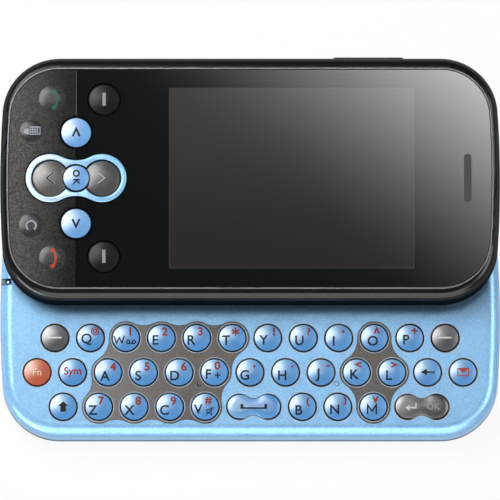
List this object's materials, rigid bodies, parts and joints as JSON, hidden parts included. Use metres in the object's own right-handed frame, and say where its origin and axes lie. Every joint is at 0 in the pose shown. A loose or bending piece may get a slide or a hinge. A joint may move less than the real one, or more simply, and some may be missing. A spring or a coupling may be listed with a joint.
{
  "type": "slider phone",
  "caption": "Mobile phone whose display half slides up along its width from a lower half with a three-row keyboard; round keys, ring-framed direction pad.",
  "frame": {"origin": "centre of the lower half's flat back face", "axes": "+X along the length, to the keyboard's right; +Y the way the upper half slides open; +Z from the back to the display"},
  "size_m": [0.1014, 0.0771, 0.0167],
  "materials": {
    "lower_shell": "satin blue moulded plastic",
    "back_cover": "satin blue moulded plastic",
    "keyboard_plate": "pale blue paint with a fine metallic sparkle",
    "upper_shell": "polished black moulded plastic",
    "window": "smoked clear acrylic over black",
    "speckled_panel": "charcoal with fine metallic flecks",
    "rim_metal": "bright satin metal",
    "blue_ring": "metallic blue",
    "blue_key": "glossy pale blue",
    "grey_key": "glossy grey",
    "dark_key": "glossy dark grey",
    "orange_key": "glossy orange",
    "black_key": "glossy black",
    "smoke_key": "glossy smoke grey",
    "circuit_board": "green solder mask",
    "display_module": "dark glass in a thin frame",
    "battery_wrap": "matt dark wrap",
    "camera_lens": "dark coated lens",
    "slide_steel": "stamped steel",
    "screw_steel": "blackened steel",
    "spring_steel": "bright spring wire",
    "ribbon": "amber film"
  },
  "bodies": {
    "lower_half": {"lower_housing": "lower_shell", "keyboard_cover": "keyboard_plate", "main_board": "circuit_board", "battery": "battery_wrap", "camera_unit": "camera_lens", "slide_rail_plate": "slide_steel", "housing_screws": "screw_steel", "flex_cable": "ribbon", "slide_springs": "spring_steel"},
    "back_cover": {"battery_cover": "back_cover"},
    "upper_half": {"upper_housing": "upper_shell", "display_window": "window", "side_key_panel": "speckled_panel", "face_rim": "rim_metal", "dpad_ring": "blue_ring", "display_board": "display_module", "slide_carriage": "slide_steel"},
    "key_soft_left": {"key_soft_left": "grey_key"},
    "key_q": {"key_q": "blue_key"},
    "key_w": {"key_w": "blue_key"},
    "key_e": {"key_e": "blue_key"},
    "key_r": {"key_r": "blue_key"},
    "key_t": {"key_t": "blue_key"},
    "key_y": {"key_y": "blue_key"},
    "key_u": {"key_u": "blue_key"},
    "key_i": {"key_i": "blue_key"},
    "key_o": {"key_o": "blue_key"},
    "key_p": {"key_p": "blue_key"},
    "key_soft_right": {"key_soft_right": "grey_key"},
    "key_fn": {"key_fn": "orange_key"},
    "key_sym": {"key_sym": "blue_key"},
    "key_a": {"key_a": "blue_key"},
    "key_s": {"key_s": "blue_key"},
    "key_d": {"key_d": "blue_key"},
    "key_f": {"key_f": "blue_key"},
    "key_g": {"key_g": "blue_key"},
    "key_h": {"key_h": "blue_key"},
    "key_j": {"key_j": "blue_key"},
    "key_k": {"key_k": "blue_key"},
    "key_l": {"key_l": "blue_key"},
    "key_backspace": {"key_backspace": "blue_key"},
    "key_message": {"key_message": "blue_key"},
    "key_shift": {"key_shift": "blue_key"},
    "key_z": {"key_z": "blue_key"},
    "key_x": {"key_x": "blue_key"},
    "key_c": {"key_c": "blue_key"},
    "key_v": {"key_v": "blue_key"},
    "key_b": {"key_b": "blue_key"},
    "key_n": {"key_n": "blue_key"},
    "key_m": {"key_m": "blue_key"},
    "key_space": {"key_space": "blue_key"},
    "key_enter": {"key_enter": "dark_key"},
    "front_soft_upper": {"front_soft_upper": "black_key"},
    "front_soft_lower": {"front_soft_lower": "black_key"},
    "nav_up": {"nav_up": "blue_key"},
    "nav_down": {"nav_down": "blue_key"},
    "nav_left": {"nav_left": "smoke_key"},
    "nav_right": {"nav_right": "smoke_key"},
    "nav_ok": {"nav_ok": "blue_key"},
    "volume_rocker": {"volume_rocker": "black_key"}
  },
  "joints": [
    {"name": "phone_slide", "type": "slide", "parent": "lower_half", "child": "upper_half", "axis": [0, 1, 0], "range_m": [-0.0266, 0], "deforming": ["slide_springs", "flex_cable"]},
    {"name": "back_cover_slide", "type": "slide", "parent": "lower_half", "child": "back_cover", "axis": [-1, 0, 0], "range_m": [0, 0.004]},
    {"name": "key_soft_left_press", "type": "slide", "parent": "lower_half", "child": "key_soft_left", "axis": [0, 0, -1], "range_m": [0, 0.0003], "stiffness_N_per_m": 400, "springref_m": -0.0002},
    {"name": "key_q_press", "type": "slide", "parent": "lower_half", "child": "key_q", "axis": [0, 0, -1], "range_m": [0, 0.0003], "stiffness_N_per_m": 400, "springref_m": -0.0002},
    {"name": "key_w_press", "type": "slide", "parent": "lower_half", "child": "key_w", "axis": [0, 0, -1], "range_m": [0, 0.0003], "stiffness_N_per_m": 400, "springref_m": -0.0002},
    {"name": "key_e_press", "type": "slide", "parent": "lower_half", "child": "key_e", "axis": [0, 0, -1], "range_m": [0, 0.0003], "stiffness_N_per_m": 400, "springref_m": -0.0002},
    {"name": "key_r_press", "type": "slide", "parent": "lower_half", "child": "key_r", "axis": [0, 0, -1], "range_m": [0, 0.0003], "stiffness_N_per_m": 400, "springref_m": -0.0002},
    {"name": "key_t_press", "type": "slide", "parent": "lower_half", "child": "key_t", "axis": [0, 0, -1], "range_m": [0, 0.0003], "stiffness_N_per_m": 400, "springref_m": -0.0002},
    {"name": "key_y_press", "type": "slide", "parent": "lower_half", "child": "key_y", "axis": [0, 0, -1], "range_m": [0, 0.0003], "stiffness_N_per_m": 400, "springref_m": -0.0002},
    {"name": "key_u_press", "type": "slide", "parent": "lower_half", "child": "key_u", "axis": [0, 0, -1], "range_m": [0, 0.0003], "stiffness_N_per_m": 400, "springref_m": -0.0002},
    {"name": "key_i_press", "type": "slide", "parent": "lower_half", "child": "key_i", "axis": [0, 0, -1], "range_m": [0, 0.0003], "stiffness_N_per_m": 400, "springref_m": -0.0002},
    {"name": "key_o_press", "type": "slide", "parent": "lower_half", "child": "key_o", "axis": [0, 0, -1], "range_m": [0, 0.0003], "stiffness_N_per_m": 400, "springref_m": -0.0002},
    {"name": "key_p_press", "type": "slide", "parent": "lower_half", "child": "key_p", "axis": [0, 0, -1], "range_m": [0, 0.0003], "stiffness_N_per_m": 400, "springref_m": -0.0002},
    {"name": "key_soft_right_press", "type": "slide", "parent": "lower_half", "child": "key_soft_right", "axis": [0, 0, -1], "range_m": [0, 0.0003], "stiffness_N_per_m": 400, "springref_m": -0.0002},
    {"name": "key_fn_press", "type": "slide", "parent": "lower_half", "child": "key_fn", "axis": [0, 0, -1], "range_m": [0, 0.0003], "stiffness_N_per_m": 400, "springref_m": -0.0002},
    {"name": "key_sym_press", "type": "slide", "parent": "lower_half", "child": "key_sym", "axis": [0, 0, -1], "range_m": [0, 0.0003], "stiffness_N_per_m": 400, "springref_m": -0.0002},
    {"name": "key_a_press", "type": "slide", "parent": "lower_half", "child": "key_a", "axis": [0, 0, -1], "range_m": [0, 0.0003], "stiffness_N_per_m": 400, "springref_m": -0.0002},
    {"name": "key_s_press", "type": "slide", "parent": "lower_half", "child": "key_s", "axis": [0, 0, -1], "range_m": [0, 0.0003], "stiffness_N_per_m": 400, "springref_m": -0.0002},
    {"name": "key_d_press", "type": "slide", "parent": "lower_half", "child": "key_d", "axis": [0, 0, -1], "range_m": [0, 0.0003], "stiffness_N_per_m": 400, "springref_m": -0.0002},
    {"name": "key_f_press", "type": "slide", "parent": "lower_half", "child": "key_f", "axis": [0, 0, -1], "range_m": [0, 0.0003], "stiffness_N_per_m": 400, "springref_m": -0.0002},
    {"name": "key_g_press", "type": "slide", "parent": "lower_half", "child": "key_g", "axis": [0, 0, -1], "range_m": [0, 0.0003], "stiffness_N_per_m": 400, "springref_m": -0.0002},
    {"name": "key_h_press", "type": "slide", "parent": "lower_half", "child": "key_h", "axis": [0, 0, -1], "range_m": [0, 0.0003], "stiffness_N_per_m": 400, "springref_m": -0.0002},
    {"name": "key_j_press", "type": "slide", "parent": "lower_half", "child": "key_j", "axis": [0, 0, -1], "range_m": [0, 0.0003], "stiffness_N_per_m": 400, "springref_m": -0.0002},
    {"name": "key_k_press", "type": "slide", "parent": "lower_half", "child": "key_k", "axis": [0, 0, -1], "range_m": [0, 0.0003], "stiffness_N_per_m": 400, "springref_m": -0.0002},
    {"name": "key_l_press", "type": "slide", "parent": "lower_half", "child": "key_l", "axis": [0, 0, -1], "range_m": [0, 0.0003], "stiffness_N_per_m": 400, "springref_m": -0.0002},
    {"name": "key_backspace_press", "type": "slide", "parent": "lower_half", "child": "key_backspace", "axis": [0, 0, -1], "range_m": [0, 0.0003], "stiffness_N_per_m": 400, "springref_m": -0.0002},
    {"name": "key_message_press", "type": "slide", "parent": "lower_half", "child": "key_message", "axis": [0, 0, -1], "range_m": [0, 0.0003], "stiffness_N_per_m": 400, "springref_m": -0.0002},
    {"name": "key_shift_press", "type": "slide", "parent": "lower_half", "child": "key_shift", "axis": [0, 0, -1], "range_m": [0, 0.0003], "stiffness_N_per_m": 400, "springref_m": -0.0002},
    {"name": "key_z_press", "type": "slide", "parent": "lower_half", "child": "key_z", "axis": [0, 0, -1], "range_m": [0, 0.0003], "stiffness_N_per_m": 400, "springref_m": -0.0002},
    {"name": "key_x_press", "type": "slide", "parent": "lower_half", "child": "key_x", "axis": [0, 0, -1], "range_m": [0, 0.0003], "stiffness_N_per_m": 400, "springref_m": -0.0002},
    {"name": "key_c_press", "type": "slide", "parent": "lower_half", "child": "key_c", "axis": [0, 0, -1], "range_m": [0, 0.0003], "stiffness_N_per_m": 400, "springref_m": -0.0002},
    {"name": "key_v_press", "type": "slide", "parent": "lower_half", "child": "key_v", "axis": [0, 0, -1], "range_m": [0, 0.0003], "stiffness_N_per_m": 400, "springref_m": -0.0002},
    {"name": "key_b_press", "type": "slide", "parent": "lower_half", "child": "key_b", "axis": [0, 0, -1], "range_m": [0, 0.0003], "stiffness_N_per_m": 400, "springref_m": -0.0002},
    {"name": "key_n_press", "type": "slide", "parent": "lower_half", "child": "key_n", "axis": [0, 0, -1], "range_m": [0, 0.0003], "stiffness_N_per_m": 400, "springref_m": -0.0002},
    {"name": "key_m_press", "type": "slide", "parent": "lower_half", "child": "key_m", "axis": [0, 0, -1], "range_m": [0, 0.0003], "stiffness_N_per_m": 400, "springref_m": -0.0002},
    {"name": "key_space_press", "type": "slide", "parent": "lower_half", "child": "key_space", "axis": [0, 0, -1], "range_m": [0, 0.0003], "stiffness_N_per_m": 400, "springref_m": -0.0002},
    {"name": "key_enter_press", "type": "slide", "parent": "lower_half", "child": "key_enter", "axis": [0, 0, -1], "range_m": [0, 0.0003], "stiffness_N_per_m": 400, "springref_m": -0.0002},
    {"name": "front_soft_upper_press", "type": "slide", "parent": "upper_half", "child": "front_soft_upper", "axis": [0, 0, -1], "range_m": [0, 0.0003], "stiffness_N_per_m": 400, "springref_m": -0.0002},
    {"name": "front_soft_lower_press", "type": "slide", "parent": "upper_half", "child": "front_soft_lower", "axis": [0, 0, -1], "range_m": [0, 0.0003], "stiffness_N_per_m": 400, "springref_m": -0.0002},
    {"name": "nav_up_press", "type": "slide", "parent": "upper_half", "child": "nav_up", "axis": [0, 0, -1], "range_m": [0, 0.0003], "stiffness_N_per_m": 400, "springref_m": -0.0002},
    {"name": "nav_down_press", "type": "slide", "parent": "upper_half", "child": "nav_down", "axis": [0, 0, -1], "range_m": [0, 0.0003], "stiffness_N_per_m": 400, "springref_m": -0.0002},
    {"name": "nav_left_press", "type": "slide", "parent": "upper_half", "child": "nav_left", "axis": [0, 0, -1], "range_m": [0, 0.0003], "stiffness_N_per_m": 400, "springref_m": -0.0002},
    {"name": "nav_right_press", "type": "slide", "parent": "upper_half", "child": "nav_right", "axis": [0, 0, -1], "range_m": [0, 0.0003], "stiffness_N_per_m": 400, "springref_m": -0.0002},
    {"name": "nav_ok_press", "type": "slide", "parent": "upper_half", "child": "nav_ok", "axis": [0, 0, -1], "range_m": [0, 0.0003], "stiffness_N_per_m": 400, "springref_m": -0.0002},
    {"name": "volume_rocker_tip", "type": "hinge", "parent": "upper_half", "child": "volume_rocker", "pos_m": [0.024, 0.04785, 0.01366], "axis": [0, 0, 1], "range_deg": [-1.5, 1.5], "stiffness_Nm_per_rad": 0.02}
  ]
}
